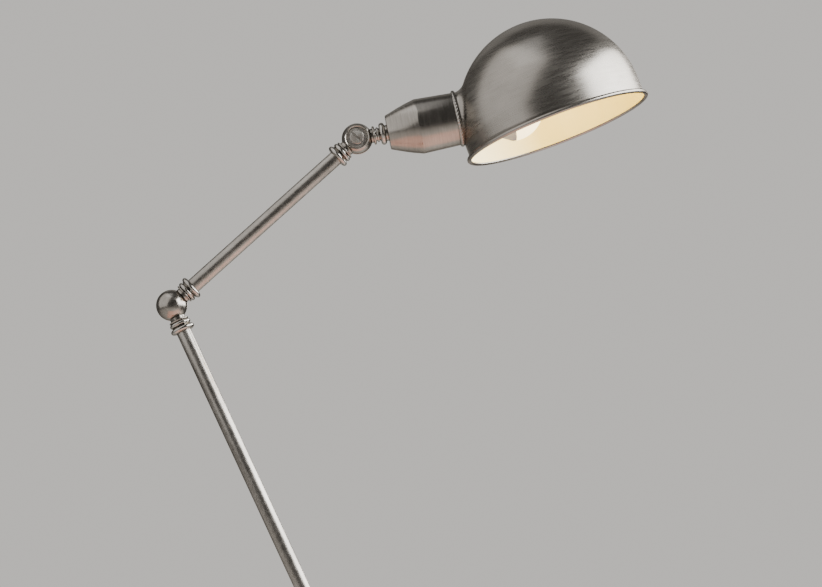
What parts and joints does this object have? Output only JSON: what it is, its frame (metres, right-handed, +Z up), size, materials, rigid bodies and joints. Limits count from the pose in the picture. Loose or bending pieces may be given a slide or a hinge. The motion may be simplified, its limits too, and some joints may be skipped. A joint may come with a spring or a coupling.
{
  "type": "adjustable arm floor lamp",
  "caption": "Floor lamp with a round weighted base, an upright, two tube arms on ball knuckles and a domed metal task shade with a rolled rim and a tapered cup.",
  "frame": {"origin": "centre of the base's underside, on the floor under the upright", "axes": "+Z up along the upright, +X towards the lamp head, -Y towards the wrist's screw side; the arms lie and bend in the XZ plane"},
  "size_m": [0.5202, 0.2835, 1.5223],
  "materials": {
    "pewter": "brushed antique nickel plate, darkened and relieved",
    "pewter_steel": "brushed antique nickel plate on steel",
    "shade_shell": "brushed antique nickel outside, cream vitreous enamel inside",
    "plain_steel": "zinc plated",
    "brass": "bare turned brass",
    "cast_iron": "as cast, painted black",
    "rubber": "soft black non-slip pad",
    "fibre": "red-brown vulcanised fibre",
    "phenolic": "dark moulded phenolic",
    "black_plastic": "moulded",
    "grey_plastic": "moulded, light grey",
    "cap_metal": "rolled aluminium",
    "solder": "dull solder",
    "black_glass": "fused black glass insulator",
    "opal_glass": "soft white diffuser, lit warm"
  },
  "bodies": {
    "stand": {"base_pad": "rubber", "base_cover": "pewter_steel", "base_weight": "cast_iron", "base_plate": "plain_steel", "base_plate_screws": "plain_steel", "base_spacer": "plain_steel", "base_lock_washer": "plain_steel", "base_nut": "plain_steel", "foot_lock_ring": "pewter", "foot_ferrule": "pewter", "foot_nipple": "plain_steel", "upright_tube": "pewter_steel", "upright_lock_ring": "pewter", "upright_ferrule": "pewter", "upright_nipple": "plain_steel", "cord_gland": "black_plastic", "shoulder_screw_half": "pewter"},
    "lower_arm": {"shoulder_tapped_half": "pewter", "shoulder_friction_ring": "fibre", "shoulder_stop_pin": "plain_steel", "shoulder_pivot_screw": "pewter_steel", "shoulder_spring_washer": "plain_steel", "lower_arm_tube": "pewter_steel", "lower_arm_lock_rings": "pewter", "lower_arm_ferrules": "pewter", "lower_arm_nipples": "plain_steel", "elbow_tapped_half": "pewter", "elbow_friction_ring": "fibre", "elbow_stop_pin": "plain_steel", "elbow_pivot_screw": "pewter_steel", "elbow_spring_washer": "plain_steel"},
    "upper_arm": {"elbow_screw_half": "pewter", "upper_arm_tube": "pewter_steel", "upper_arm_lock_rings": "pewter", "upper_arm_ferrules": "pewter", "upper_arm_nipples": "plain_steel", "wrist_screw_half": "pewter"},
    "wrist_swivel": {"wrist_tapped_half": "pewter", "wrist_friction_ring": "fibre", "wrist_stop_pin": "plain_steel", "wrist_pivot_screw": "pewter_steel", "wrist_spring_washer": "plain_steel", "head_swivel_collar": "pewter", "head_swivel_washer": "pewter", "head_swivel_spring": "plain_steel", "head_swivel_nuts": "brass", "head_swivel_spigot": "plain_steel"},
    "head": {"lamp_cup": "pewter", "shade_ring": "pewter", "shade": "shade_shell", "holder_front": "phenolic", "holder_terminals": "brass", "holder_cap": "phenolic", "holder_screw_shell": "brass", "holder_centre_contact": "brass", "bulb_contact": "solder", "bulb_insulator": "black_glass", "bulb_cap": "cap_metal", "bulb_collar": "grey_plastic", "bulb_glass": "opal_glass"}
  },
  "joints": [
    {"name": "shoulder_bend", "type": "hinge", "parent": "stand", "child": "lower_arm", "pos_m": [0, 0, 0.8], "axis": [0, 1, 0], "range_deg": [-34.8, 70.2]},
    {"name": "elbow_bend", "type": "hinge", "parent": "lower_arm", "child": "upper_arm", "pos_m": [-0.19586, 0, 1.21622], "axis": [0, 1, 0], "range_deg": [-102.8, 27.2]},
    {"name": "wrist_bend", "type": "hinge", "parent": "upper_arm", "child": "wrist_swivel", "pos_m": [-0.00091, 0, 1.39424], "axis": [0, 1, 0], "range_deg": [-120.9, 49.1]},
    {"name": "head_turn", "type": "hinge", "parent": "wrist_swivel", "child": "head", "pos_m": [-0.00091, 0, 1.39424], "axis": [0.9799, 0, 0.1994], "range_deg": [-90, 90]}
  ]
}
